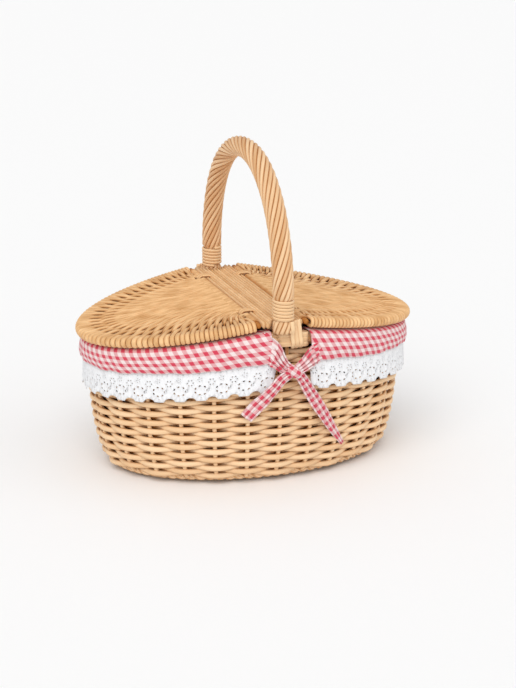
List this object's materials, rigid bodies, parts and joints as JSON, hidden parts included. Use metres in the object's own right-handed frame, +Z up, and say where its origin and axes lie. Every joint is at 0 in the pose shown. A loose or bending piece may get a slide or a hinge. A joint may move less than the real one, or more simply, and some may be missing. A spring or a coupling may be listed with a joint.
{
  "type": "picnic basket",
  "caption": "Oval woven willow picnic basket with a fixed arched handle, hinged lids on a centre bar, a gingham cuff with ties and an eyelet lace band.",
  "frame": {"origin": "on the ground under the middle of the body", "axes": "+Z up, +X along the long side, -Y towards the front foot of the handle"},
  "size_m": [0.313, 0.236, 0.293],
  "materials": {
    "willow_wall": "peeled willow rods, randed, honey tan with a light lacquer",
    "willow_base": "woven willow rods over base sticks",
    "willow_stake": "whole willow rod",
    "willow_lid": "fine willow rods laid close, lacquered",
    "willow_bar": "fine woven skeins, smooth",
    "willow_handle": "twisted bundle of peeled rods",
    "willow_skein": "split and shaved willow skein",
    "gingham": "red and white checked cotton",
    "lace": "white cotton eyelet lace with a scalloped edge"
  },
  "bodies": {
    "basket": {"base_panel": "willow_base", "base_wale": "willow_wall", "wall_weave": "willow_wall", "rim_border": "willow_wall", "stake_01": "willow_stake", "stake_02": "willow_stake", "stake_03": "willow_stake", "stake_04": "willow_stake", "stake_05": "willow_stake", "stake_06": "willow_stake", "stake_07": "willow_stake", "stake_08": "willow_stake", "stake_09": "willow_stake", "stake_10": "willow_stake", "stake_11": "willow_stake", "stake_12": "willow_stake", "stake_13": "willow_stake", "stake_14": "willow_stake", "stake_15": "willow_stake", "stake_16": "willow_stake", "stake_17": "willow_stake", "stake_18": "willow_stake", "stake_19": "willow_stake", "stake_20": "willow_stake", "stake_21": "willow_stake", "stake_22": "willow_stake", "stake_23": "willow_stake", "stake_24": "willow_stake", "stake_25": "willow_stake", "stake_26": "willow_stake", "liner": "gingham", "cuff_left": "gingham", "cuff_right": "gingham", "lace_left": "lace", "lace_right": "lace", "tie_knot_front": "gingham", "tie_knot_rear": "gingham", "tie_tail_front_left": "gingham", "tie_tail_front_right": "gingham", "tie_tail_rear_left": "gingham", "tie_tail_rear_right": "gingham", "handle_core": "willow_handle", "handle_binding_front": "willow_skein", "handle_binding_rear": "willow_skein", "foot_lashing_front": "willow_skein", "foot_lashing_rear": "willow_skein", "bar_slat": "willow_bar", "bar_stick_left": "willow_stake", "bar_stick_right": "willow_stake", "hinge_loop_left_front": "willow_skein", "hinge_loop_left_rear": "willow_skein", "hinge_loop_right_front": "willow_skein", "hinge_loop_right_rear": "willow_skein"},
    "lid_left": {"lid_left_hinge_rod": "willow_stake", "lid_left_panel": "willow_lid", "lid_left_border": "willow_lid"},
    "lid_right": {"lid_right_hinge_rod": "willow_stake", "lid_right_panel": "willow_lid", "lid_right_border": "willow_lid"}
  },
  "joints": [
    {"name": "lid_left_hinge", "type": "hinge", "parent": "basket", "child": "lid_left", "pos_m": [-0.0216, 0, 0.14935], "axis": [0, 1, 0], "range_deg": [0, 101]},
    {"name": "lid_right_hinge", "type": "hinge", "parent": "basket", "child": "lid_right", "pos_m": [0.0216, 0, 0.14935], "axis": [0, -1, 0], "range_deg": [0, 101]}
  ]
}
